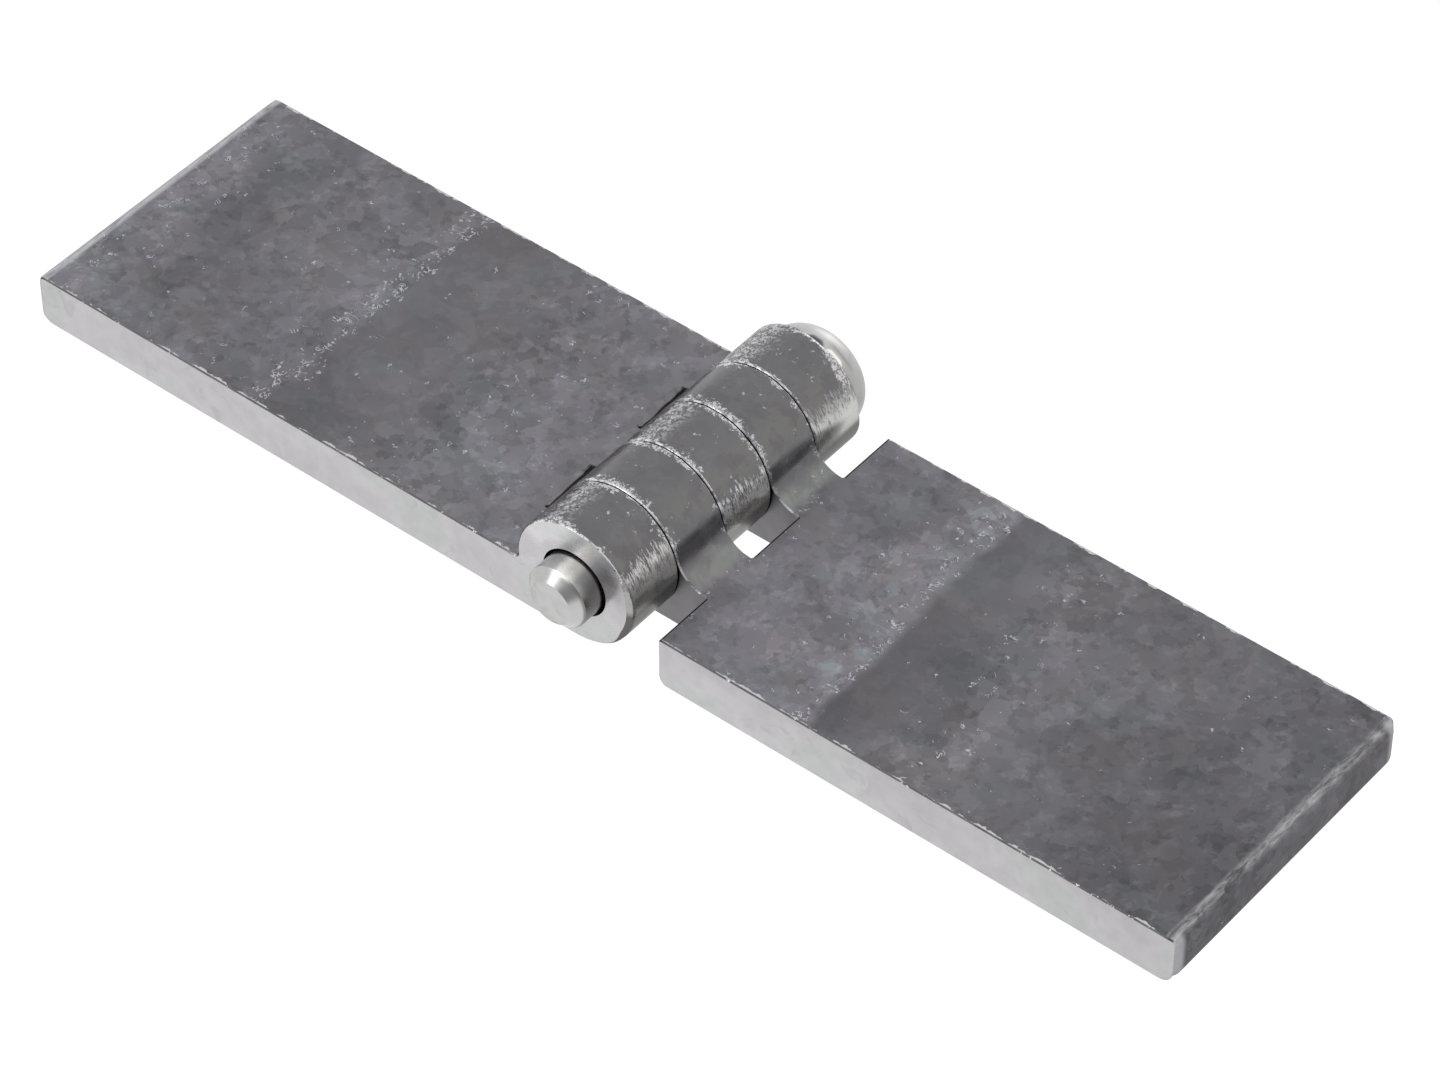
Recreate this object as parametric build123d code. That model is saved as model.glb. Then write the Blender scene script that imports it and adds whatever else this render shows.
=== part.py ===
from build123d import *
from math import sqrt
import os

# A heavy steel weld-on hinge, lying open and flat on its leaves' undersides.
# X runs across the two leaves, Y along the pin and Z up. The origin is under the pin's axis,
# half-way along the barrel. All sizes are in millimetres.

# Leaves
leaf_width = 50.0                # along the pin
leaf_length = 100.0              # from the pin's axis to the outer end
leaf_thickness = 8.5
end_top_radius = 1.5             # upper edge of the outer end
end_bottom_radius = 2.5          # lower edge of the outer end

# Barrel
barrel_diameter = 20.0
knuckle_count = 5                # the leaves take turns, starting at the front face
knuckle_gap = 0.2                # side play between neighbouring knuckles
rim_chamfer = 0.2                # broken edge round the sawn faces of leaves and knuckles
mouth_chamfer = 0.4              # countersink of the bore at the barrel's two ends

# Room past the barrel, in each leaf, for the other leaf's knuckles to turn in
three_knuckle_leaf_clearance = 3.5
two_knuckle_leaf_clearance = 4.7

# Rounded edges where that room ends, on the leaves' tops and on their undersides
notch_top_radius = 0.3
three_knuckle_leaf_notch_bottom_radius = 0.3
two_knuckle_leaf_notch_bottom_radius = 1.8

# Inside corner between a leaf's top and its knuckles
three_knuckle_leaf_root_radius = 0.8
two_knuckle_leaf_root_radius = 5.0

# Pin
pin_diameter = 10.0
pin_clearance = 0.1              # radial, in every knuckle
pin_tail = 5.0                   # length that stands out of the front knuckle
pin_tail_chamfer = 1.5
head_overhang = 3.5              # how far the head is wider than the shank, on each side
head_height = 5.7
head_edge_radius = 4.5

# Worked out from the sizes above
barrel_radius = barrel_diameter / 2
axis_height = barrel_radius      # the barrel's lowest line is flush with the undersides
pin_radius = pin_diameter / 2
bore_radius = pin_radius + pin_clearance
front_face = -leaf_width / 2
rear_face = leaf_width / 2
knuckle_pitch = leaf_width / knuckle_count

cut_margin = 1.0                 # how far a cutting shape runs past what it cuts
tolerance = 1e-6


def corner(shape, x, height):
    """The vertex of a flat section nearest to a point."""
    return shape.vertices().sort_by_distance((x, height, 0))[0]


def leaf_section(side, root_radius):
    """Section across the pin: a plate with a rounded outer end, and the barrel at its inner end."""
    outer_end = side * leaf_length
    plate = Pos(outer_end / 2, leaf_thickness / 2) * Rectangle(leaf_length, leaf_thickness)
    plate = fillet(corner(plate, outer_end, 0), end_bottom_radius)
    plate = fillet(corner(plate, outer_end, leaf_thickness), end_top_radius)
    section = plate + Pos(0, axis_height) * Circle(barrel_radius)
    root = side * sqrt(barrel_radius**2 - (leaf_thickness - axis_height) ** 2)
    return fillet(corner(section, root, leaf_thickness), root_radius)


def notch_span(knuckle):
    """Where a notch for one knuckle starts and ends along the pin."""
    start = front_face + knuckle * knuckle_pitch - knuckle_gap / 2
    return start, start + knuckle_pitch + knuckle_gap


def notch(side, clearance, knuckle):
    """Block that clears one leaf away from a knuckle of the other leaf."""
    start, end = notch_span(knuckle)
    near = -barrel_radius - cut_margin
    far = barrel_radius + clearance
    block = Box(far - near, end - start, barrel_diameter + 2 * cut_margin)
    return Pos(side * (near + far) / 2, (start + end) / 2, axis_height) * block


def notch_rounding(side, clearance, knuckle, radius, height, outward):
    """What a rounded edge takes off a leaf at the end of a notch. Outward is 1 on top, -1 below."""
    start, end = notch_span(knuckle)
    centre_x = side * (barrel_radius + clearance + radius)
    centre_height = height - outward * radius
    size = radius + cut_margin
    block = Pos(centre_x - side * size / 2, centre_height + outward * size / 2) * Rectangle(size, size)
    section = block - Pos(centre_x, centre_height) * Circle(radius)
    return Pos(0, end, 0) * extrude(Plane.XZ * section, end - start)


def bore():
    """The pin's hole through the whole barrel, countersunk at both ends."""
    mouth_radius = bore_radius + mouth_chamfer
    outline = Polyline(
        (0, front_face - cut_margin),
        (mouth_radius + cut_margin, front_face - cut_margin),
        (bore_radius, front_face + mouth_chamfer),
        (bore_radius, rear_face - mouth_chamfer),
        (mouth_radius + cut_margin, rear_face + cut_margin),
        (0, rear_face + cut_margin),
        close=True,
    )
    return Pos(0, 0, axis_height) * revolve(make_face(outline), Axis.Y)


def is_rim(edge):
    """Whether an edge goes round a sawn face: it lies across the pin and isn't upright."""
    size = edge.bounding_box().size
    return size.Y < tolerance and size.X > tolerance


def leaf(side, clearance, root_radius, notch_bottom_radius, first_knuckle):
    """One leaf: its section along the whole width, less the other leaf's knuckles and the bore."""
    others = range(1 - first_knuckle, knuckle_count, 2)
    solid = extrude(Plane.XZ * leaf_section(side, root_radius), leaf_width / 2, both=True)
    for knuckle in others:
        solid -= notch(side, clearance, knuckle)
    solid = chamfer(solid.edges().filter_by(is_rim), rim_chamfer)
    for knuckle in others:
        solid -= notch_rounding(side, clearance, knuckle, notch_top_radius, leaf_thickness, 1)
        solid -= notch_rounding(side, clearance, knuckle, notch_bottom_radius, 0, -1)
    return solid - bore()


def pin():
    """Turned pin: a chamfered tail in front, the shank, and a domed head behind the last knuckle."""
    tail_end = front_face - pin_tail
    head_radius = pin_radius + head_overhang
    head_end = rear_face + head_height
    outline = Polyline(
        (0, tail_end),
        (pin_radius - pin_tail_chamfer, tail_end),
        (pin_radius, tail_end + pin_tail_chamfer),
        (pin_radius, rear_face),
        (head_radius, rear_face),
        (head_radius, head_end),
        (0, head_end),
        close=True,
    )
    half = make_face(outline)
    half = fillet(corner(half, head_radius, head_end), head_edge_radius)
    return Pos(0, 0, axis_height) * revolve(half, Axis.Y)


solids = {
    "three_knuckle_leaf": leaf(
        side=-1,
        clearance=three_knuckle_leaf_clearance,
        root_radius=three_knuckle_leaf_root_radius,
        notch_bottom_radius=three_knuckle_leaf_notch_bottom_radius,
        first_knuckle=0,
    ),
    "two_knuckle_leaf": leaf(
        side=1,
        clearance=two_knuckle_leaf_clearance,
        root_radius=two_knuckle_leaf_root_radius,
        notch_bottom_radius=two_knuckle_leaf_notch_bottom_radius,
        first_knuckle=1,
    ),
    "pin": pin(),
}

os.makedirs("parts", exist_ok=True)
for name, solid in solids.items():
    export_step(solid, f"parts/{name}.step")
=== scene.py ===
from math import cos, radians, sin

import bmesh
import bpy
import numpy as np
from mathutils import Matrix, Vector, noise


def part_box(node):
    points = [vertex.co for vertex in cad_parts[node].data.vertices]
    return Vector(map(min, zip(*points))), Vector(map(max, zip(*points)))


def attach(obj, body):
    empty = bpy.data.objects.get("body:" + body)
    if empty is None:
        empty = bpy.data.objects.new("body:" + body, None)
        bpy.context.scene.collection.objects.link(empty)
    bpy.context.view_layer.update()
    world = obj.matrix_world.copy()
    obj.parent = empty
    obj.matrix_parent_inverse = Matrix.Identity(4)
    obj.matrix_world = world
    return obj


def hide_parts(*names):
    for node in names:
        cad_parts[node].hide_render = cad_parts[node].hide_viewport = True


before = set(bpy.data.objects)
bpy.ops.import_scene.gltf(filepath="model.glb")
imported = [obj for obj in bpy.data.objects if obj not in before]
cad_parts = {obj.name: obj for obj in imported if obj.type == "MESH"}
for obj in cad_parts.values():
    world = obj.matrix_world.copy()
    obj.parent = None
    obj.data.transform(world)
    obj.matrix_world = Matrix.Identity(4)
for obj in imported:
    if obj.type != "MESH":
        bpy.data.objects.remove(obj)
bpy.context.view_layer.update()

# The hinge's finish: rolled leaves with dark mill scale, bright sawn faces and rubbed rims, and a
# bright turned pin. Lengths are in metres, and MM turns millimetres into them.
MM = 0.001

# The hinge's main sizes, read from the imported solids
three_low, three_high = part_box("three_knuckle_leaf")
barrel_radius = three_high.x
axis_height = barrel_radius
half_width = three_high.y
leaf_length = -three_low.x
knuckle_pitch = 2 * half_width / 5

# The same sizes in millimetres, for the materials
radius_mm = barrel_radius / MM
axis_mm = axis_height / MM
half_width_mm = half_width / MM
pitch_mm = knuckle_pitch / MM
length_mm = leaf_length / MM

# Camera, at the photograph's viewing angle
camera_azimuth = 39.021          # degrees
camera_elevation = 45.085        # degrees
camera_distance = 803.865 * MM
camera_target = Vector((3.854 * MM, 1.378 * MM, 0))
camera_lens = 145.65             # for the sensor's width
sensor_width = 36.0
camera_near = 10 * MM

# The floor lies deep enough for a leaf to hang down from the other one, and shines so that it stays white
floor_depth = 1.1 * leaf_length
floor_reach = 3.0                # from its middle to each side
floor_glow = 0.95

# The patches of light and shade all round: azimuth, elevation, how many degrees from its middle a patch
# starts to fade and is gone, and its colour
light_patches = (
    (30, 12, 18, 40, (0.30, 0.30, 0.31, 1.0)),
    (150, 14, 10, 45, (1.0, 0.97, 0.93, 1.0)),
    (-32, 33, 7, 12, (5.0, 5.0, 5.0, 1.0)),
    (192, 12, 8, 20, (2.6, 2.6, 2.6, 1.0)),
)

# How finely each surface is cut, so that its edges can be worn
weld_distance = 1e-6
flat_angle = radians(0.2)
plate_pitch = 0.5 * MM
width_pitch = 1.0 * MM
rim_steps = (0.4 * MM, 0.65 * MM, 1.0 * MM, 1.4 * MM)
level_cuts = np.arange(1, 9) * MM  # their heights
plate_start = 1.6 * barrel_radius
root_start = 1.1 * barrel_radius  # where the barrel's finish gives way to the plate's
# the lip beside a notch is painted nearly black as shade on the two-knuckle leaf
lip_width = 0.35 * MM            # the dark edge beside a notch
edge_slack = 0.05 * MM           # how far from its place an edge still counts
sharp_angle = radians(30)
tangent_angle = radians(25)      # a rim that starts within this of a sawn face runs on smoothly from it

# How faces are told apart: the least share of a direction that their normals have, and where they lie
straight_share = 0.999
sawn_share = 0.97
wall_share = 0.5
rim_share = 0.3
bore_end = 0.6 * barrel_radius
ring_start = 0.9 * barrel_radius
surface_start = 0.98 * barrel_radius
rim_depth = 0.5 * MM             # how far a worn rim reaches from the barrel's end
rim_height = 0.8 * axis_height
lip_height = 0.7 * axis_height
front_burr_angles = (30, 105)    # degrees, upwards from the right

# The rounded outer rims of the barrel: their radius where they are most worn, and the angles in degrees,
# upwards from the right, where the wear starts, is full, lessens and ends
rear_rim_radius = 0.9 * MM
rear_rim_angles = (-20, 5, 75, 105)
front_rim_radius = 0.9 * MM
front_rim_angles = (-50, -25, 5, 45)
plain_rim_radius = 0.2 * MM

# The ragged slits that the leaf with three knuckles has beside the barrel
slit_ripple = 0.25 * MM
slit_waves = 0.45                # for each millimetre
slit_fine_waves = 1.3
slit_taper = 0.50 * MM
slit_spread = 0.10 * MM          # how much wider than the sharp notch they are at the rear
slit_reach = 0.35 * MM           # how far from the notch's wall points are moved


class Recipe:
    """A node tree of a material or of the world, with one short method for each kind of node."""

    def __init__(self, owner):
        self.owner = owner
        owner.use_nodes = True
        self.tree = owner.node_tree
        self.tree.nodes.clear()

    def put(self, socket, value):
        if isinstance(value, bpy.types.NodeSocket):
            self.tree.links.new(value, socket)
        else:
            socket.default_value = value

    def node(self, kind, inputs=None, **settings):
        made = self.tree.nodes.new(kind)
        for name, value in settings.items():
            setattr(made, name, value)
        for name, value in (inputs or {}).items():
            self.put(made.inputs[name], value)
        return made

    def place(self):
        """Where a point is on the piece itself, in millimetres."""
        own = self.node("ShaderNodeTexCoord").outputs["Object"]
        scaled = self.node("ShaderNodeVectorMath", {0: own, "Scale": 1 / MM}, operation="SCALE")
        return scaled.outputs["Vector"]

    def parts(self, vector):
        return self.node("ShaderNodeSeparateXYZ", {"Vector": vector}).outputs

    def join(self, x, y, z):
        return self.node("ShaderNodeCombineXYZ", {"X": x, "Y": y, "Z": z}).outputs["Vector"]

    def attribute(self, name):
        return self.node("ShaderNodeAttribute", attribute_name=name).outputs["Fac"]

    def math(self, operation, first, second=0.0, third=0.0):
        inputs = {0: first, 1: second, 2: third}
        return self.node("ShaderNodeMath", inputs, operation=operation).outputs[0]

    def times(self, first, *others):
        for other in others:
            first = self.math("MULTIPLY", first, other)
        return first

    def most(self, first, *others):
        for other in others:
            first = self.math("MAXIMUM", first, other)
        return first

    def vector(self, operation, first, second):
        inputs = {0: first, 1: second}
        return self.node("ShaderNodeVectorMath", inputs, operation=operation).outputs["Vector"]

    def noise(self, vector, grain, detail=3.0, roughness=0.55, distortion=0.0, seed=0):
        """Cloudy values about 0.5, with clouds of about one grain in millimetres."""
        if seed:
            vector = self.vector("ADD", vector, (37.3 * seed, 11.9 * seed, 53.1 * seed))
        inputs = {"Vector": vector, "Scale": 1 / grain, "Detail": detail,
                  "Roughness": roughness, "Distortion": distortion}
        return self.node("ShaderNodeTexNoise", inputs).outputs["Fac"]

    def flakes(self, vector, grain, seed):
        """A value from 0 to 1 for each of many crisp, crooked flakes of about one grain in millimetres."""
        vector = self.vector("ADD", vector, (23.7 * seed, 41.3 * seed, 7.9 * seed))
        inputs = {"Vector": vector, "Scale": 0.8 / grain, "Detail": 4.0, "Roughness": 0.6}
        shift = self.node("ShaderNodeTexNoise", inputs).outputs["Color"]
        inputs = {0: shift, 1: (2 * grain, 2 * grain, 2 * grain), 2: vector}
        bent = self.node("ShaderNodeVectorMath", inputs, operation="MULTIPLY_ADD").outputs["Vector"]
        cells = self.node("ShaderNodeTexVoronoi", {"Vector": bent, "Scale": 1 / grain})
        return self.math("ADD", cells.outputs["Color"], 0.0)

    def ramp(self, value, low, high, start=0.0, end=1.0):
        """A smooth step from start to end as a value goes from low to high."""
        inputs = {"Value": value, "From Min": low, "From Max": high, "To Min": start, "To Max": end}
        return self.node("ShaderNodeMapRange", inputs, interpolation_type="SMOOTHSTEP").outputs["Result"]

    def band(self, value, low, high, soft):
        """One between low and high, and nothing beyond them, with soft limits."""
        above = self.ramp(value, low - soft, low + soft)
        return self.times(above, self.ramp(value, high + soft, high - soft))

    def profile(self, value, longest, *stops):
        """A share of 0 to 1 that is given at a few places along a value, and runs evenly between them."""
        ramp = self.node("ShaderNodeValToRGB", {"Fac": self.math("DIVIDE", value, longest)})
        marks = ramp.color_ramp.elements
        while len(marks) < len(stops):
            marks.new(0.5)
        for mark, (place, share) in zip(marks, stops):
            mark.position = place / longest
            mark.color = (share, share, share, 1)
        return ramp.outputs["Color"]

    def mix(self, share, first, second):
        made = self.node("ShaderNodeMix", data_type="RGBA")
        self.put(made.inputs[0], share)
        self.put(made.inputs[6], first)
        self.put(made.inputs[7], second)
        return made.outputs[2]

    def tint(self, color, factor):
        """A colour made lighter or darker by a factor."""
        if isinstance(color, tuple):
            color = color[:3]
        scaled = self.node("ShaderNodeVectorMath", {0: color, "Scale": factor}, operation="SCALE")
        return scaled.outputs["Vector"]

    def shade(self, color, share, factor):
        """A colour made lighter or darker by a factor, as far as the share goes."""
        return self.tint(color, self.number(share, 1.0, factor))

    def number(self, share, first, second):
        made = self.node("ShaderNodeMix", data_type="FLOAT")
        self.put(made.inputs[0], share)
        self.put(made.inputs[2], first)
        self.put(made.inputs[3], second)
        return made.outputs[0]

    def about_pin(self, place):
        """A point's angle about the pin's axis, in degrees upwards from the right, and its distance."""
        xyz = self.parts(place)
        up = self.math("SUBTRACT", xyz["Z"], axis_mm)
        angle = self.math("DEGREES", self.math("ARCTAN2", up, xyz["X"]))
        squares = self.math("ADD", self.math("POWER", xyz["X"], 2.0), self.math("POWER", up, 2.0))
        return angle, self.math("SQRT", squares)

    def bump(self, height, distance, strength=1.0):
        inputs = {"Height": height, "Distance": distance, "Strength": strength}
        return self.node("ShaderNodeBump", inputs).outputs["Normal"]

    def finish(self, color, roughness, normal=None, one_sided=False, **fixed):
        inputs = {"Base Color": color, "Roughness": roughness}
        if normal:
            inputs["Normal"] = normal
        shader = self.node("ShaderNodeBsdfPrincipled", inputs)
        for name, value in fixed.items():
            shader.inputs[name.replace("_", " ")].default_value = value
        surface = shader.outputs[0]
        if one_sided:
            back = self.node("ShaderNodeNewGeometry").outputs["Backfacing"]
            clear = self.node("ShaderNodeBsdfTransparent").outputs[0]
            surface = self.node("ShaderNodeMixShader", {0: back, 1: surface, 2: clear}).outputs[0]
        self.node("ShaderNodeOutputMaterial", {"Surface": surface})
        return self.owner


def grey(level, warmth=0.0, violet=0.0):
    """A near-neutral colour: warmth shifts it to brown, violet to lilac."""
    return (level * (1 + warmth + violet / 2), level * (1 - violet / 2), level * (1 - warmth + violet), 1.0)


# Where the painted shadow beside each scratch lies, in millimetres
tick_shadow = (0.3, 0.3, 0.0)

# How high the knuckles' rubbed flanks reach, in degrees: by themselves, and with each of two noises
flank_reach = -14.0
stroke_reach = 45.0
grain_reach = 50.0
middle_drop = 9.0                # how much lower the middle knuckle's starts

# Where the barrel's finish changes: angles in degrees, upwards from the right
green_angles = (26, 60)
strip_angles = (7.5, 19.5)       # a lighter strip low on the lightly worn knuckles
crown_angles = (104, 142)
rear_angles = (15, 60)           # where the rear rim is rubbed farthest
# where a sheen is painted on the knuckles' left sides
sheen_angles = (118, 178)
# where shade is painted on the sawn faces right of the pin, and a highlight up on its left
sawn_shade_angles = (0, 76)
sawn_highlight_angles = (95, 150)

# Where the pin has painted shade, painted highlights and a thin line: angles as above, and distances behind
# the barrel in millimetres
tail_highlight_angles = (62, 90)           # where the tail is brightest
crevice_angles = (72, 94)
crevice_depth = 1.5
head_highlight_angles = (46, 70)
head_highlight_depth = 1.2
line_angles = (42, 68)
line_place = (1.6, 2.1)
tail_radii = (4.6, 4.9)          # between them the tail's chamfer gives way to its side

# Where the plates are worn, in millimetres
end_start = length_mm - 1.8
end_stop = length_mm - 0.4
fillet_start = 11.0
top_start = 0.70 * axis_mm       # heights above which a face counts as the plate's top
top_full = 0.76 * axis_mm

# Colours
scale_mid = (0.153, 0.149, 0.164, 1.0)
scale_wine = (0.157, 0.1475, 0.160, 1.0)
scale_teal = (0.148, 0.151, 0.162, 1.0)
scale_blue = (0.176, 0.186, 0.208, 1.0)
barrel_grey = (0.134, 0.133, 0.137, 1.0)
barrel_green = (0.181, 0.184, 0.182, 1.0)
rubbed_dark = (0.215, 0.214, 0.226, 1.0)
rubbed_light = (0.580, 0.580, 0.610, 1.0)
flank_bare = (0.66, 0.658, 0.635, 1.0)
flank_stroke = (0.52, 0.52, 0.54, 1.0)
flank_dark = (0.33, 0.33, 0.325, 1.0)
fillet_light = (0.25, 0.26, 0.25, 1.0)
tick_bright = (0.60, 0.61, 0.67, 1.0)
bare_bright = grey(0.70, violet=0.01)
burr_grey = grey(0.09, violet=0.02)
sawn_mid = grey(0.55, violet=0.015)
sawn_lilac = grey(0.525, violet=0.035)
sawn_green = (0.52, 0.535, 0.525, 1.0)
sawn_stain = grey(0.41, warmth=0.01, violet=0.03)
gap_shade_grey = grey(0.20, violet=0.03)
floor_scale = grey(0.13, violet=0.03)
lip_shade_grey = grey(0.03)
black = grey(0.006)
floor_grey = grey(0.12)
white = (1.0, 1.0, 1.0, 1.0)
edge_tint = grey(0.55)
pin_steel = grey(0.50)
pin_shade = grey(0.42, warmth=0.01)
pin_painted_shade = grey(0.22, warmth=0.04)
pin_highlight = grey(0.90, warmth=0.04)
crevice_shade_grey = grey(0.11)
head_line = grey(0.26)


class Look:
    """What differs between the two leaves. Places are distances from the pin's axis in millimetres."""

    def __init__(self, slant, tone, mottle, ticks, blue, heavy, rim_end, end_wear, corner):
        self.slant = slant               # how much nearer the bands lie for each millimetre to the rear
        self.tone = tone                 # places, with how light the scale is there
        self.mottle = mottle             # places, with how much its flakes differ
        self.ticks = ticks               # places, with how many bare specks it has
        self.blue = blue                 # places, with how bluish its patches are
        self.heavy = heavy               # whether the knuckles' crowns and flanks are rubbed bare
        self.rim_end = rim_end           # how far out the notches' rims are bright
        self.end_wear = end_wear         # how the outer end is rubbed: 0 in streaks, 0.2 nearly all over
        self.corner = corner             # how far the outer end's upright corners are worn round


three_knuckle_look = Look(
    slant=0.0,
    tone=((0, 0.51), (14, 0.90), (26, 0.74), (44, 0.47), (57, 0.42),
          (58.5, 0.70), (66, 0.58), (90, 0.46), (96, 0.85)),
    mottle=((0, 0.6), (36, 1.0), (44, 0.4), (57, 0.2), (59, 1.0), (68, 0.8), (85, 0.7), (95, 1.0)),
    ticks=((0, 0.45), (12, 0.25), (36, 0.35), (55, 0.1), (57.5, 1.0),
           (60, 0.9), (62, 0.35), (85, 0.15), (96, 0.5)),
    blue=((0, 0.0), (30, 0.2), (40, 0.0), (58, 0.2), (75, 0.3), (92, 0.3), (96, 0.7)),
    heavy=True,
    rim_end=9.7,
    end_wear=0.2,
    corner=0.8 * MM,
)
two_knuckle_look = Look(
    slant=0.05,
    tone=((0, 0.51), (14, 0.69), (28, 0.66), (38.5, 0.98), (40, 0.28),
          (46, 0.38), (58, 0.52), (76, 0.41), (90, 0.20)),
    mottle=((0, 0.6), (26, 0.8), (37, 1.0), (40, 0.2), (46, 0.4), (52, 1.0), (64, 0.7), (80, 0.7), (95, 0.9)),
    ticks=((0, 0.35), (10, 0.2), (13.5, 0.6), (17, 0.2), (33, 0.3),
           (38.5, 0.85), (40, 0.05), (54, 0.5), (66, 0.15)),
    blue=((0, 0.15), (28, 0.3), (38.5, 1.0), (40, 0.0), (50, 0.0), (70, 0.3), (90, 0.1)),
    heavy=False,
    rim_end=13.4,
    end_wear=0.0,
    corner=1.6 * MM,
)


# The materials: r is a material's recipe, and p is a place on the piece in millimetres


def mill_scale(r, p, out, look):
    """Dark mill scale: crisp flakes and large soft patches in a few greys, reddish or bluish in places."""
    mottle = r.profile(out, length_mm, *look.mottle)
    hue = r.noise(p, 9.0, detail=4.0, roughness=0.6, distortion=0.5)
    color = r.mix(r.ramp(hue, 0.52, 0.59), scale_mid, scale_wine)
    color = r.mix(r.ramp(hue, 0.46, 0.38), color, scale_teal)
    bluish = r.ramp(r.noise(p, 6.0, detail=4.0, roughness=0.6, distortion=0.6, seed=1), 0.50, 0.58)
    color = r.mix(r.times(bluish, r.profile(out, length_mm, *look.blue)), color, scale_blue)
    broad = r.noise(p, 24.0, detail=3.0, roughness=0.5, seed=2)
    patches = r.noise(p, 9.0, detail=5.0, roughness=0.6, distortion=0.5, seed=3)
    flakes = r.flakes(p, 2.8, seed=4)
    chips = r.flakes(p, 1.0, seed=5)
    tone = r.ramp(broad, 0.40, 0.60, 0.92, 1.08)
    tone = r.times(tone, r.ramp(patches, 0.47, 0.53, 0.94, 1.06))
    tone = r.times(tone, r.number(r.times(flakes, mottle), 0.95, 1.06))
    lighter_and_darker = (
        (r.ramp(flakes, 0.72, 0.73), 1.12),
        (r.ramp(flakes, 0.28, 0.27), 0.88),
        (r.ramp(chips, 0.78, 0.79), 1.17),
        (r.ramp(chips, 0.22, 0.21), 0.83),
    )
    for share, factor in lighter_and_darker:
        tone = r.times(tone, r.number(r.times(share, mottle), 1.0, factor))
    tone = r.times(tone, r.number(r.profile(out, length_mm, *look.tone), 0.68, 1.40))
    return r.tint(color, tone)


def curls(r, p):
    """Thin curled lines, a millimetre or two long."""
    cloud = r.noise(p, 1.7, detail=3.0, roughness=0.5, distortion=1.6, seed=8)
    line = r.math("ABSOLUTE", r.math("SUBTRACT", cloud, 0.5))
    return r.ramp(line, 0.034, 0.014)


def with_ticks(r, p, color, chance):
    """Short curled scratches and specks of bare metal, where there is a chance of them from 0 to 1, each
    scratch with a painted shadow beside it.
    """
    held = r.noise(p, 1.5, detail=2.0, roughness=0.5, seed=9)
    held = r.ramp(r.math("SUBTRACT", held, r.number(chance, 0.74, 0.49)), 0.0, 0.03)
    speck = r.noise(p, 0.6, detail=2.0, roughness=0.5, seed=10)
    speck = r.ramp(r.math("SUBTRACT", speck, r.number(chance, 0.84, 0.69)), 0.0, 0.02)
    # painted shadow: the scratches again, set a little aside and darkened
    shadow = r.times(curls(r, r.vector("ADD", p, tick_shadow)), held)
    color = r.shade(color, shadow, 0.72)
    bare = r.most(r.times(curls(r, p), held), speck)
    return r.mix(r.times(bare, 0.7), color, tick_bright)


def worn_flank(r, angle, along):
    """A knuckle's rubbed right flank: where it is, and its colour, with fine strokes at its upper edge.
    It starts lower on the middle knuckle, is duller on the rear one, and more even on both."""
    middle = r.band(along, -pitch_mm / 2, pitch_mm / 2, soft=1.0)
    farther = r.ramp(along, -pitch_mm / 2 - 1.0, -pitch_mm / 2 + 1.0)
    around = r.join(r.math("MULTIPLY", angle, 0.08), r.math("MULTIPLY", along, 2.2), 0.0)
    strokes = r.noise(around, 1.0, detail=4.0, roughness=0.6, distortion=0.4, seed=13)
    grain = r.noise(around, 0.4, detail=4.0, roughness=0.65, distortion=0.4, seed=26)
    below = r.math("SUBTRACT", r.math("MULTIPLY_ADD", strokes, stroke_reach, flank_reach), angle)
    below = r.math("MULTIPLY_ADD", middle, -middle_drop, below)
    below = r.math("MULTIPLY_ADD", grain, grain_reach, below)
    edge = r.mix(r.ramp(grain, 0.44, 0.54), flank_dark, flank_stroke)
    color = r.mix(r.ramp(below, 14.0, 5.0), flank_bare, edge)
    color = r.shade(color, farther, r.ramp(angle, 45, 12, 0.85, 1.40))
    return r.ramp(below, -0.5, 0.5), r.tint(color, r.ramp(along, 8, 14, 1.0, 0.60))


def rubbed_rims(r, angle, from_rim, ragged, cluster, grit):
    """Where each knuckle's rims are rubbed, raggedly and in clusters."""
    reach = r.math("MULTIPLY_ADD", ragged, 5.0, r.ramp(angle, 60, 130, -2.75, -2.2))
    reach = r.math("ADD", reach, r.ramp(cluster, 0.42, 0.62, 0.1, 1.1))
    within = r.math("SUBTRACT", reach, from_rim)
    gritty = r.most(r.ramp(grit, 0.46, 0.50), r.ramp(within, 0.3, 0.7))
    return r.times(r.ramp(within, -0.06, 0.06), gritty)


def rubbed_crown(r, angle, from_rear, ragged):
    """Where the heavily worn knuckles are rubbed besides: along the crown, and at the barrel's rear rim."""
    crown = r.times(r.band(angle, *crown_angles, soft=12), r.ramp(ragged, 0.47, 0.52), 0.9)
    farthest = r.band(angle, *rear_angles, soft=12)
    reach = r.math("MULTIPLY_ADD", ragged, 3.0, r.number(farthest, -0.7, 0.5))
    rear = r.times(r.ramp(r.math("SUBTRACT", from_rear, reach), 0.1, -0.1), r.ramp(angle, 5, 20))
    return r.most(crown, rear)


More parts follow.
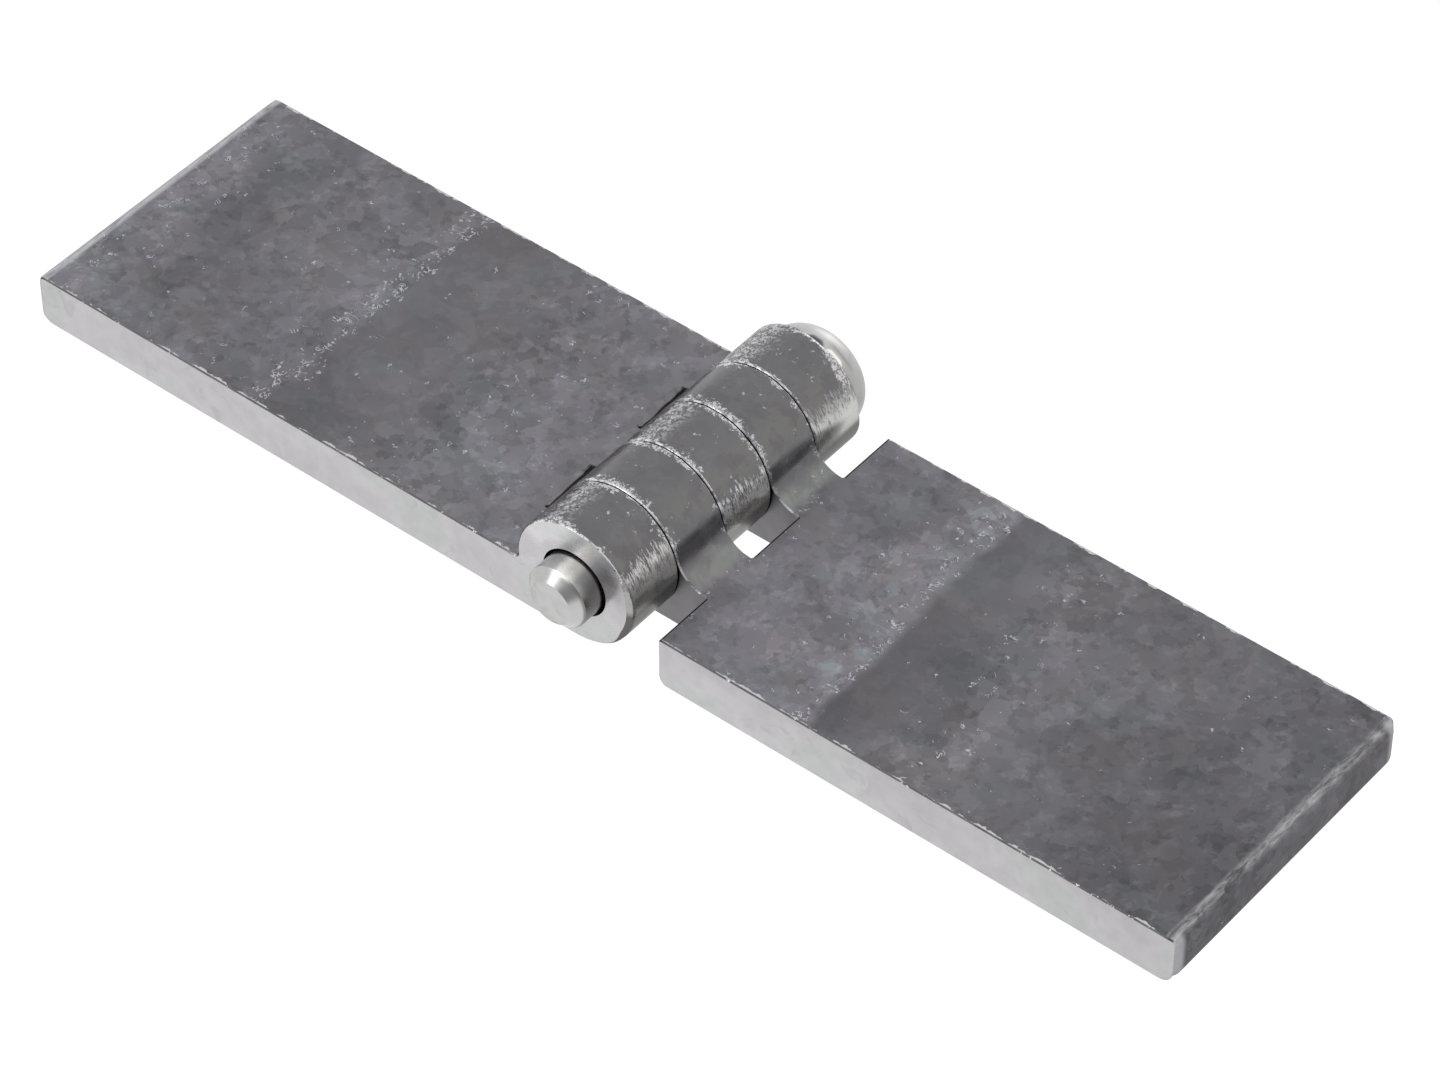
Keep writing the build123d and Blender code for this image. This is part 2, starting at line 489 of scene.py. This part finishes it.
def barrel_finish(r, p, color, heavy):
    """The barrel: rims rubbed light, on the heavily worn knuckles the crown and right flank too, and painted
    shade and sheen.
    """
    angle, _ = r.about_pin(p)
    along = r.parts(p)["Y"]
    from_front = r.math("ADD", along, half_width_mm)
    ragged = r.noise(p, 0.7, detail=6.0, roughness=0.75, distortion=0.6, seed=11)
    cluster = r.noise(p, 3.0, detail=2.0, roughness=0.5, seed=27)
    grit = r.noise(p, 0.4, detail=3.0, roughness=0.7, distortion=0.4, seed=12)
    cloud = r.noise(p, 5.0, detail=4.0, roughness=0.6, distortion=0.5, seed=28)
    color = r.mix(0.55, color, barrel_grey)
    green = r.times(r.band(angle, *green_angles, soft=14), r.ramp(cloud, 0.46, 0.54), 0.85)
    color = r.mix(green, color, barrel_green)
    rubbed = rubbed_rims(r, angle, r.math("PINGPONG", from_front, pitch_mm / 2), ragged, cluster, grit)
    if heavy:
        from_rear = r.math("SUBTRACT", half_width_mm, along)
        rubbed = r.most(rubbed, rubbed_crown(r, angle, from_rear, ragged))
    color = r.mix(rubbed, color, r.mix(r.ramp(grit, 0.44, 0.52), rubbed_dark, rubbed_light))
    if heavy:
        flank, flank_color = worn_flank(r, angle, along)
        color = r.mix(flank, color, flank_color)
        # painted shade: darker below the pin's axis, where the barrel faces down
        color = r.tint(color, r.ramp(angle, 3, -6, 1.0, 0.34))
        # painted shade: the front rim darker low on the right, where it faces the floor
        low_rim_shade = r.times(r.ramp(angle, 50, 30), r.ramp(from_front, 0.9, 0.5))
        color = r.shade(color, low_rim_shade, 0.55)
    else:
        color = r.shade(color, r.band(angle, *strip_angles, soft=1.0), 1.22)
    # painted sheen: the knuckles' left sides made lighter
    return r.shade(color, r.band(angle, *sheen_angles, soft=14), 1.45 if heavy else 1.9)


def plate_finish(r, p, out, color, look):
    """The plates: scale rubbed off raggedly along the sawn edges, and in streaks at the outer end."""
    xyz = r.parts(p)
    from_edge = r.math("SUBTRACT", half_width_mm, r.math("ABSOLUTE", xyz["Y"]))
    reach = r.math("MULTIPLY_ADD", r.noise(p, 2.6, detail=5.0, roughness=0.65, seed=14), 2.6, -1.05)
    edge = r.ramp(r.math("SUBTRACT", from_edge, reach), 0.05, -0.05)
    along = r.join(r.math("MULTIPLY", out, 1.6), r.math("MULTIPLY", xyz["Y"], 0.3), 0.0)
    streaks = r.noise(along, 1.0, detail=5.0, roughness=0.68, distortion=0.3, seed=15)
    streaks = r.math("ADD", streaks, look.end_wear)
    high = r.ramp(xyz["Z"], top_start, top_full)
    end = r.times(r.band(out, end_start, end_stop, soft=0.4), high, r.ramp(streaks, 0.36, 0.52))
    corner_mm = look.corner / MM
    corner = r.times(r.ramp(out, length_mm - corner_mm, length_mm - 0.5 * corner_mm),
                     r.ramp(from_edge, 1.6 * corner_mm, 0.8 * corner_mm))
    cloud = r.noise(p, 3.0, detail=4.0, roughness=0.6, distortion=0.6, seed=24)
    shine = r.times(r.ramp(cloud, 0.40, 0.62, 0.45, 1.0), r.number(r.flakes(p, 0.9, seed=6), 0.8, 1.2))
    fillet = r.band(out, fillet_start, look.rim_end, soft=0.8)
    color = r.mix(r.times(fillet, high, shine), color, fillet_light)
    end_color = r.mix(r.ramp(streaks, 0.42, 0.80), rubbed_dark, rubbed_light)
    color = r.mix(r.times(end, 0.8), color, end_color)
    color = r.mix(r.times(corner, 0.5), color, rubbed_light)
    return r.mix(edge, color, sawn_mid)


def sawn_steel(r, p):
    """Bright sawn or sheared steel with a few large soft stains, with painted shade right of the bore and a
    painted highlight up on its left.
    """
    hue = r.noise(p, 14.0, detail=2.0, roughness=0.5, seed=16)
    color = r.mix(r.ramp(hue, 0.45, 0.60), sawn_mid, sawn_lilac)
    color = r.mix(r.ramp(hue, 0.48, 0.38), color, sawn_green)
    stain = r.ramp(r.noise(p, 4.0, detail=4.0, roughness=0.6, distortion=0.8, seed=17), 0.60, 0.68)
    color = r.mix(r.math("MULTIPLY", stain, 0.4), color, sawn_stain)
    angle, spread = r.about_pin(p)
    # painted shade beside the pin, on its right
    painted_shade = r.times(r.band(angle, *sawn_shade_angles, soft=14), r.ramp(spread, 5.5, 7.5))
    # painted highlight up on the left, near the rim
    light = r.times(r.band(angle, *sawn_highlight_angles, soft=10), r.ramp(spread, 6.5, 7.5))
    color = r.shade(r.shade(color, painted_shade, 0.80), light, 1.15)
    cloud = r.noise(p, 2.4, detail=3.0, roughness=0.55, seed=18)
    return r.tint(color, r.ramp(cloud, 0.35, 0.65, 0.97, 1.03))


def notch_steel(r, p, color, look):
    """Rims, notches and the bore: bright burrs on the rims, and painted shade in the gaps, on the lips beside
    the notches and in the bore.
    """
    xyz = r.parts(p)
    _, spread = r.about_pin(p)
    out = r.math("ABSOLUTE", xyz["X"])
    # painted shade: the sawn faces inside the gaps, black within the barrel's radius and grey beyond it
    inside = r.mix(r.ramp(spread, radius_mm + 0.05, radius_mm - 0.1), gap_shade_grey, black)
    color = r.mix(r.attribute("inner"), color, inside)
    breaks = r.noise(p, 1.2, detail=4.0, roughness=0.65, seed=20)
    outer = r.ramp(r.math("ABSOLUTE", xyz["Y"]), half_width_mm - 0.5, half_width_mm - 0.3)
    burr = r.mix(r.ramp(breaks, 0.38, 0.55), rubbed_dark, bare_bright)
    plate_burr = r.mix(r.ramp(breaks, 0.60, 0.68), burr_grey, sawn_mid)
    barrel_burr = r.mix(r.ramp(breaks, 0.36, 0.50), rubbed_dark, bare_bright)
    outer_burr = r.mix(r.attribute("barrel"), plate_burr, barrel_burr)
    shown = r.most(outer, r.ramp(out, look.rim_end + 0.4, look.rim_end))
    # painted shade on the rims deep in the notches
    burr = r.mix(shown, gap_shade_grey, r.mix(outer, burr, outer_burr))
    color = r.mix(r.attribute("rim"), color, burr)
    color = r.mix(r.attribute("notch_floor"), color, floor_scale)
    # painted shade: the lips beside the notches nearly black
    color = r.mix(r.attribute("lip"), color, lip_shade_grey)
    # painted shade: the bore black
    return r.mix(r.attribute("bore"), color, black)


def rolled_steel(name, look):
    """A leaf's finish, all over."""
    r = Recipe(bpy.data.materials.new(name))
    p = r.place()
    out = r.math("ABSOLUTE", r.parts(p)["X"])
    slanted = r.math("MULTIPLY_ADD", r.parts(p)["Y"], look.slant, out)
    stray = r.math("MULTIPLY_ADD", r.noise(p, 14.0, detail=3.0, roughness=0.5, seed=19), 9.0, -4.5)
    strayed = r.math("ADD", slanted, stray)
    barrel = r.attribute("barrel")
    scale = mill_scale(r, p, strayed, look)
    color = r.mix(barrel, plate_finish(r, p, out, scale, look), barrel_finish(r, p, scale, look.heavy))
    color = with_ticks(r, p, color, r.profile(strayed, length_mm, *look.ticks))
    color = r.mix(r.attribute("sawn"), color, sawn_steel(r, p))
    color = notch_steel(r, p, color, look)
    coarse = r.noise(p, 1.6, detail=5.0, roughness=0.6, seed=21)
    fine = r.noise(p, 0.3, detail=3.0, roughness=0.6, seed=22)
    height = r.math("MULTIPLY_ADD", coarse, 0.6, r.math("MULTIPLY", fine, 0.4))
    smooth = r.most(r.attribute("sawn"), r.times(barrel, 0.85))
    normal = r.bump(height, 0.03 * MM, r.number(smooth, 1.0, 0.15))
    rough = r.number(barrel, 0.42, 0.26)
    rough = r.math("ADD", rough, r.ramp(r.noise(p, 2.4, detail=4.0, seed=23), 0.35, 0.65, -0.04, 0.06))
    return r.finish(color, rough, normal, Metallic=0.92, Specular_Tint=edge_tint)


def head_shade_and_highlight(r, color, angle, behind):
    """The pin's head: where it is, and its colour: darker low on the right, painted shade in the crevice
    behind the barrel's rim, a painted highlight beside it, and a thin line.
    """
    back = r.ramp(behind, -0.01, 0.0)
    color = r.shade(color, r.times(back, r.ramp(angle, 60, 20)), 0.78)
    # painted shade in the crevice behind the barrel's rim
    depth = r.times(r.band(angle, *crevice_angles, soft=7), crevice_depth)
    crevice = r.times(r.ramp(r.math("SUBTRACT", behind, depth), 0.2, -0.5), back)
    color = r.mix(crevice, color, crevice_shade_grey)
    # painted highlight on the head, hugging the barrel's rim
    depth = r.times(r.band(angle, *head_highlight_angles, soft=6), head_highlight_depth)
    head_highlight = r.times(r.ramp(r.math("SUBTRACT", behind, depth), 0.1, -0.2), back)
    color = r.mix(head_highlight, color, pin_highlight)
    line = r.times(r.band(angle, *line_angles, soft=7), r.band(behind, *line_place, soft=0.3))
    return back, r.mix(r.times(line, 0.7), color, head_line)


def turned_steel(name):
    """The pin's finish: bright, with fine turning marks round it, painted shade and a painted highlight on
    its tail, and rougher with painted shade and highlights beside the barrel.
    """
    r = Recipe(bpy.data.materials.new(name))
    p = r.place()
    along = r.parts(p)["Y"]
    angle, spread = r.about_pin(p)
    over = r.join(r.math("ADD", along, spread), 0.0, 0.0)
    marks = r.noise(over, 0.15, detail=2.0, roughness=0.6)
    cloud = r.noise(p, 4.0, detail=3.0, roughness=0.5, distortion=0.5)
    color = r.mix(r.ramp(cloud, 0.60, 0.40), pin_steel, pin_shade)
    tail = r.times(r.ramp(along, -half_width_mm + 0.2, -half_width_mm), r.ramp(spread, *tail_radii))
    # painted shade: the tail's side darker low on the right
    color = r.mix(r.times(tail, r.ramp(angle, 54, 24)), color, pin_painted_shade)
    # painted highlight: a warm bright band up on the tail's side
    color = r.mix(r.times(tail, r.band(angle, *tail_highlight_angles, soft=9)), color, pin_highlight)
    back, color = head_shade_and_highlight(r, color, angle, r.math("SUBTRACT", along, half_width_mm))
    rough = r.math("ADD", r.ramp(cloud, 0.3, 0.7, 0.24, 0.32), r.times(back, 0.12))
    return r.finish(color, rough, r.bump(marks, 0.004 * MM), Metallic=1.0)


# The leaves' surfaces


def cut(bm, normal, places, keep=None):
    """Cuts a mesh's faces by parallel planes across one direction."""
    for place in places:
        faces = [f for f in bm.faces if keep is None or keep(f.calc_center_median())]
        edges = {e for f in faces for e in f.edges}
        verts = {v for f in faces for v in f.verts}
        bmesh.ops.bisect_plane(bm, geom=[*verts, *edges, *faces], dist=weld_distance,
                               plane_co=Vector(normal) * place, plane_no=normal)


def off_barrel(point):
    """Whether a point lies beside the barrel, and not above or below the pin's axis."""
    return abs(point.x) > barrel_radius


def notch_place(bm):
    """How far from the pin's axis a leaf's notches end."""
    bm.normal_update()
    walls = [f for f in bm.faces if abs(f.normal.x) > straight_share]
    places = [(f.calc_area(), abs(f.calc_center_median().x)) for f in walls]
    return max((area, place) for area, place in places if place < plate_start)[1]


def refined(node):
    """A leaf's own surface, cut finely enough for its edges to be worn, and where its notches end."""
    low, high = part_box(node)
    bm = bmesh.new()
    bm.from_mesh(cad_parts[node].data)
    bmesh.ops.remove_doubles(bm, verts=bm.verts, dist=weld_distance)
    bmesh.ops.dissolve_limit(bm, angle_limit=flat_angle, verts=bm.verts, edges=bm.edges)
    cut(bm, (0, 0, 1), level_cuts, off_barrel)
    columns = np.arange(low.x + plate_pitch, high.x, plate_pitch)
    notch = notch_place(bm)
    lips = [notch + lip_width, -notch - lip_width]
    cut(bm, (1, 0, 0), [*columns[np.abs(columns) > plate_start], *lips], off_barrel)
    across = set(np.arange(low.y + width_pitch, high.y, width_pitch))
    for wall in np.arange(low.y, high.y + width_pitch, knuckle_pitch):
        across.update(wall + step for step in rim_steps)
        across.update(wall - step for step in rim_steps)
    cut(bm, (0, 1, 0), sorted(y for y in across if low.y < y < high.y))
    return bm, notch


def smooth_step(value, low, high):
    """A share that rises smoothly from 0 at low to 1 at high."""
    t = np.clip((value - low) / (high - low), 0, 1)
    return t * t * (3 - 2 * t)


def swell(value, start, full, lessens, ends):
    """A share that rises from start to full, and falls again from lessens to ends."""
    return smooth_step(value, start, full) * smooth_step(value, ends, lessens)


def about_axis(points):
    """Each point's angle about the pin's axis, in degrees upwards from the right, and its distance."""
    up = points[:, 2] - axis_height
    return np.degrees(np.arctan2(up, points[:, 0])), np.hypot(points[:, 0], up)


def round_rims(points):
    """Rounds the barrel's two outer rims on the right: the rear one up to the crown, the front one lower."""
    angle, spread = about_axis(points)
    front = swell(angle, *front_rim_angles)
    rear = swell(angle, *rear_rim_angles)
    for end, share, most in ((-1, front, front_rim_radius), (1, rear, rear_rim_radius)):
        radius = plain_rim_radius + (most - plain_rim_radius) * share
        depth = half_width - end * points[:, 1]
        on_face = (depth < weld_distance) & (spread > ring_start)
        on_side = (depth > weld_distance) & (depth < radius) & (spread > surface_start)
        worn = (share > 0) & (on_face | on_side)
        arc = radius - np.sqrt(np.maximum(radius**2 - (radius - depth) ** 2, 0))
        target = np.where(on_face, barrel_radius - radius, barrel_radius - arc)
        shrink = np.where(worn, np.minimum(target / np.maximum(spread, MM), 1), 1)
        points[:, 0] *= shrink
        points[:, 2] = axis_height + (points[:, 2] - axis_height) * shrink


def round_corners(points, radius):
    """Wears the two upright corners of the outer end round."""
    centre = np.array((leaf_length, half_width)) - radius
    beyond = np.abs(points[:, :2]) - centre
    worn = (beyond > weld_distance).all(axis=1)
    beyond = beyond[worn]
    shrink = beyond.max(axis=1) / np.hypot(beyond[:, 0], beyond[:, 1])
    points[worn, :2] = np.sign(points[worn, :2]) * (centre + beyond * shrink[:, None])
    return worn


def ragged_slits(points, notch):
    """Makes a leaf's notch floors wavy, so that the slits beside the barrel taper towards the front."""
    out = np.abs(points[:, 0])
    near = (out < notch + slit_reach) & (out > notch - edge_slack)
    for i in np.flatnonzero(near):
        y = points[i, 1]
        broad = noise.noise((y / MM * slit_waves, 0.0, 0.0))
        ripple = broad + 0.5 * noise.noise((y / MM * slit_fine_waves, 5.0, 0.0))
        taper = slit_taper * (1 - (y + half_width) / knuckle_pitch % 1)
        height = smooth_step(points[i, 2], 0.3 * axis_height, 0.8 * axis_height)
        points[i, 0] -= np.sign(points[i, 0]) * (slit_ripple * ripple + taper - slit_spread) * height


def paint(mesh, name, domain, values):
    """Stores a number for each face or point, which the material reads by its name."""
    mesh.attributes.new(name, "FLOAT", domain).data.foreach_set("value", values.astype(float))


def flat_faces_stay_flat(mesh, flat):
    """Keeps the shading of the sawn faces even up to a rounded rim."""
    loops = len(mesh.loops)
    normals = np.empty(loops * 3)
    mesh.corner_normals.foreach_get("vector", normals)
    normals = normals.reshape(-1, 3)
    corner_points = np.empty(loops, int)
    mesh.loops.foreach_get("vertex_index", corner_points)
    point_normals = np.zeros((len(mesh.vertices), 3))
    flat_loops = np.zeros(loops, bool)
    for i in np.flatnonzero(flat):
        face = mesh.polygons[i]
        corners = slice(face.loop_start, face.loop_start + face.loop_total)
        normals[corners] = face.normal
        flat_loops[corners] = True
        point_normals[corner_points[corners]] = face.normal
    beside = point_normals[corner_points]
    tangent = ~flat_loops & ((beside * normals).sum(1) > cos(tangent_angle))
    normals[tangent] = beside[tangent]
    mesh.normals_split_custom_set(normals)


def mark_faces(mesh, notch, heavy):
    """Tells the material which faces are sawn, beside a notch or in the bore, or on a bright rim."""
    normals = np.abs([f.normal for f in mesh.polygons])
    centres = np.array([f.center for f in mesh.polygons])
    angle, spread = about_axis(centres)
    out, along = np.abs(centres[:, :2]).T
    height = centres[:, 2]
    sawn = normals[:, 1] > sawn_share
    bore = (spread < bore_end) & ~sawn
    second_or_fourth = (along > knuckle_pitch / 2) & (along < 1.5 * knuckle_pitch)
    in_notch = second_or_fourth if heavy else ~second_or_fourth
    beside_notch = in_notch & (out > notch - edge_slack) & (out < notch + lip_width) & ~sawn
    rim = (normals[:, 1] > rim_share) & ~sawn & ~bore & (height > rim_height)
    if heavy:
        low, high = front_burr_angles
        on_barrel = (spread > ring_start) & (spread < root_start)
        front = centres[:, 1] < -half_width + rim_depth
        rear = centres[:, 1] > half_width - rim_depth
        rim &= ~(on_barrel & front & ((angle < low) | (angle > high)))
        rim &= ~(on_barrel & rear)
    paint(mesh, "sawn", "FACE", sawn)
    paint(mesh, "inner", "FACE", sawn & (along < half_width - 0.1 * MM))
    paint(mesh, "notch_floor", "FACE", beside_notch & (normals[:, 0] > wall_share))
    paint(mesh, "lip", "FACE", beside_notch & (height > lip_height) & (not heavy))
    paint(mesh, "bore", "FACE", bore)
    paint(mesh, "rim", "FACE", rim)
    return sawn


def leaf(node, look, body):
    """One leaf: its surface refined, its rims worn, and its faces marked for the material."""
    bm, notch = refined(node)
    mesh = bpy.data.meshes.new(node + "_surface")
    bm.to_mesh(mesh)
    bm.free()
    points = np.array([v.co for v in mesh.vertices])
    flat = mark_faces(mesh, notch, look.heavy)
    worn = round_corners(points, look.corner)
    flat &= ~np.array([worn[list(f.vertices)].any() for f in mesh.polygons])
    if look.heavy:
        round_rims(points)
        ragged_slits(points, notch)
    mesh.vertices.foreach_set("co", points.ravel())
    barrel = np.clip((root_start - np.abs(points[:, 0])) / (root_start - barrel_radius), 0, 1)
    paint(mesh, "barrel", "POINT", barrel)
    mesh.update()
    mesh.shade_smooth()
    mesh.set_sharp_from_angle(angle=sharp_angle)
    flat_faces_stay_flat(mesh, flat)
    mesh.materials.append(rolled_steel(node + "_steel", look))
    piece = bpy.data.objects.new(node + "_worn", mesh)
    bpy.context.scene.collection.objects.link(piece)
    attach(piece, body)
    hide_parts(node)


def pin():
    """The pin keeps its own surface, and gets its finish."""
    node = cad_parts["pin"]
    node.data.materials.clear()
    node.data.materials.append(turned_steel("pin_steel"))


# The stage


def floor():
    """A white floor, which hides nothing when it is seen from below."""
    mesh = bpy.data.meshes.new("floor")
    corners = [(x * floor_reach, y * floor_reach, 0) for x, y in ((-1, -1), (1, -1), (1, 1), (-1, 1))]
    mesh.from_pydata(corners, [], [(0, 1, 2, 3)])
    r = Recipe(bpy.data.materials.new("floor_white"))
    mesh.materials.append(r.finish(floor_grey, 0.9, one_sided=True,
                                   Emission_Color=white, Emission_Strength=floor_glow))
    made = bpy.data.objects.new("floor", mesh)
    made.location.z = -floor_depth
    bpy.context.scene.collection.objects.link(made)


def towards(azimuth, elevation):
    """A direction from the hinge. Azimuth 0 is the front face's side, and 90 the right leaf's."""
    a, e = radians(azimuth), radians(elevation)
    return Vector((sin(a) * cos(e), -cos(a) * cos(e), sin(e)))


def studio():
    """Soft white all round, darker behind the camera, with a softbox at the left and one at the back."""
    scene = bpy.context.scene
    scene.world = bpy.data.worlds.new("studio")
    scene.view_settings.view_transform = "Standard"
    r = Recipe(scene.world)
    here = r.node("ShaderNodeTexCoord").outputs["Generated"]
    light = white
    for azimuth, elevation, inside, outside, color in light_patches:
        inputs = {0: here, 1: towards(azimuth, elevation)}
        facing = r.node("ShaderNodeVectorMath", inputs, operation="DOT_PRODUCT").outputs["Value"]
        light = r.mix(r.ramp(facing, cos(radians(outside)), cos(radians(inside))), light, color)
    shader = r.node("ShaderNodeBackground", {"Color": light})
    r.node("ShaderNodeOutputWorld", {"Surface": shader.outputs[0]})


def camera():
    """The camera, where the photograph was taken from."""
    data = bpy.data.cameras.new("camera")
    data.sensor_width = sensor_width
    data.lens = camera_lens
    data.clip_start = camera_near
    made = bpy.data.objects.new("camera", data)
    back = towards(camera_azimuth, camera_elevation)
    made.location = camera_target + back * camera_distance
    made.rotation_euler = (-back).to_track_quat("-Z", "Y").to_euler()
    bpy.context.scene.collection.objects.link(made)
    bpy.context.scene.camera = made


# The scene
leaf("three_knuckle_leaf", three_knuckle_look, "fixed_leaf")
leaf("two_knuckle_leaf", two_knuckle_look, "swinging_leaf")
pin()
floor()
studio()
camera()
